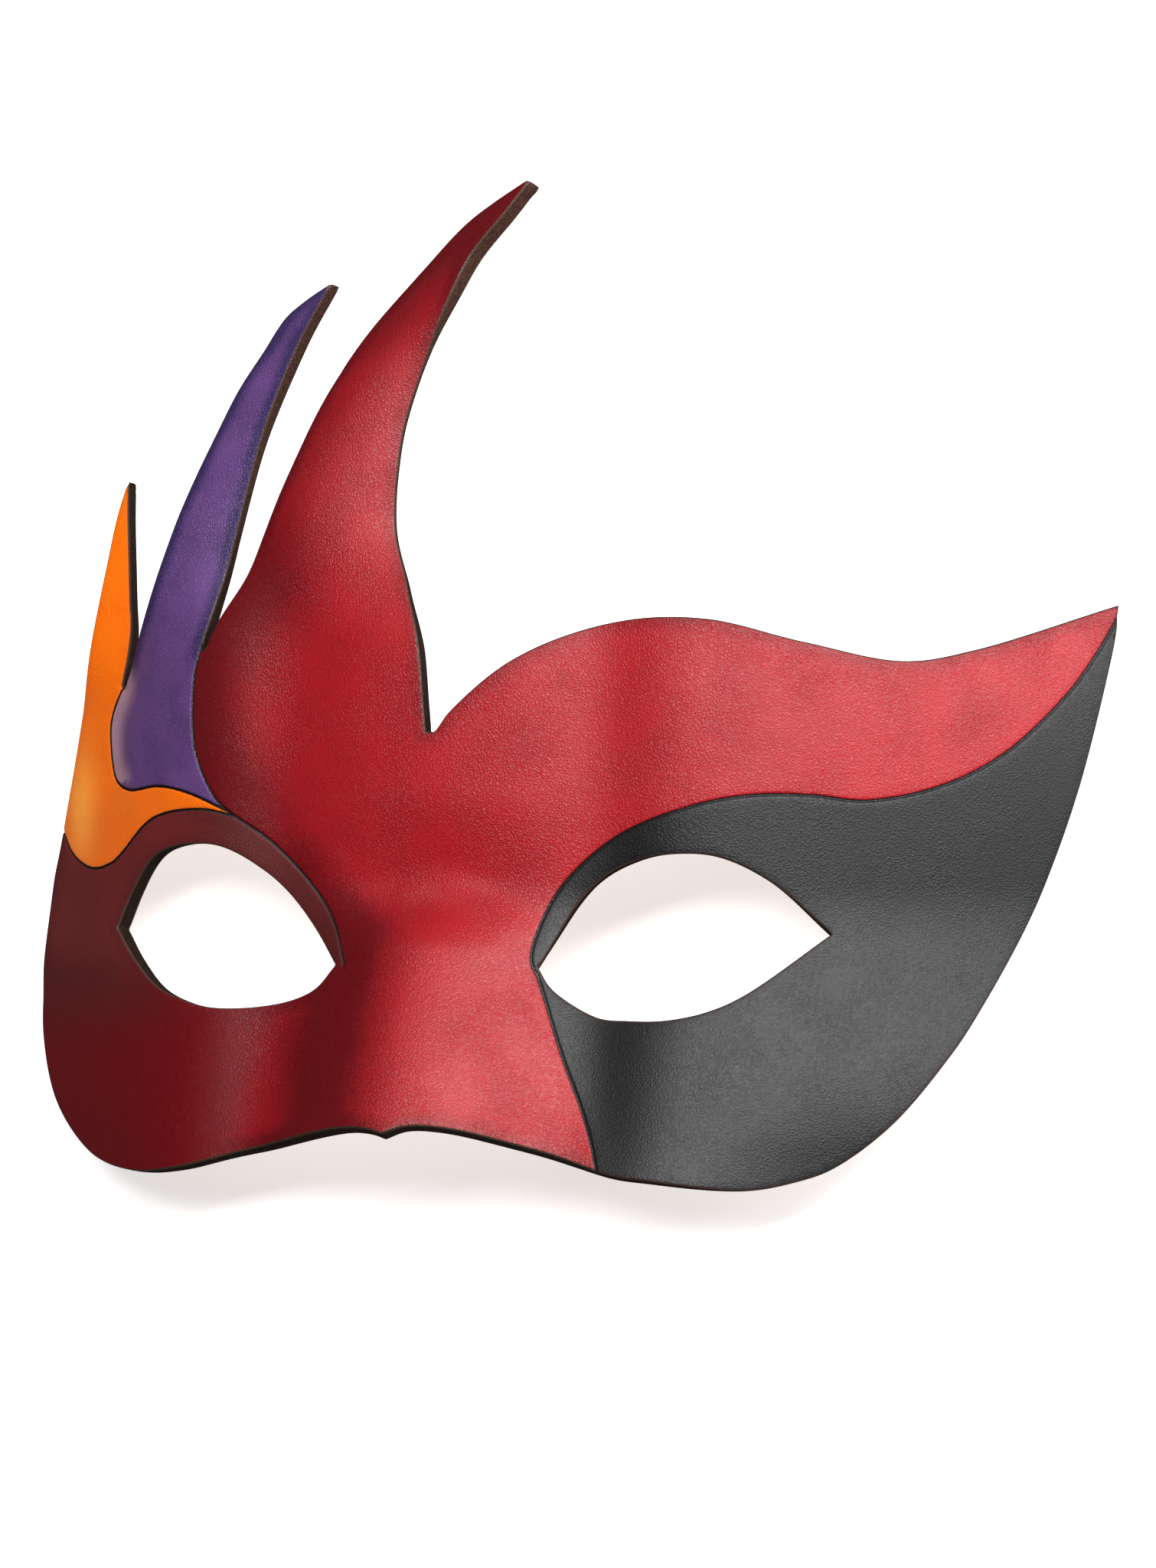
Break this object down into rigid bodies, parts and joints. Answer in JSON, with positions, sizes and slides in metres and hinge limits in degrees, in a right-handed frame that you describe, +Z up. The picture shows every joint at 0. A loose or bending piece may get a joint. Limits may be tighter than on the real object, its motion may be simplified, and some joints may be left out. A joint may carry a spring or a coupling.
{
  "type": "leather half mask",
  "caption": "Wet-formed leather half mask with almond eye holes, a nose ridge, swept horns over one eye and a pointed wing over the other.",
  "frame": {"origin": "centre of the bounding box on the surface that the mask lies on, hollow side down", "axes": "+X to the viewer's right across the face, +Y up the face towards the horns, +Z up out of the front of the mask"},
  "size_m": [0.19, 0.1636, 0.0501],
  "materials": {
    "leather_mask": "satin dyed vegetable-tanned leather with a fine grain and burnished edges"
  },
  "bodies": {
    "root": {"leather_mask": "leather_mask"}
  },
  "joints": []
}
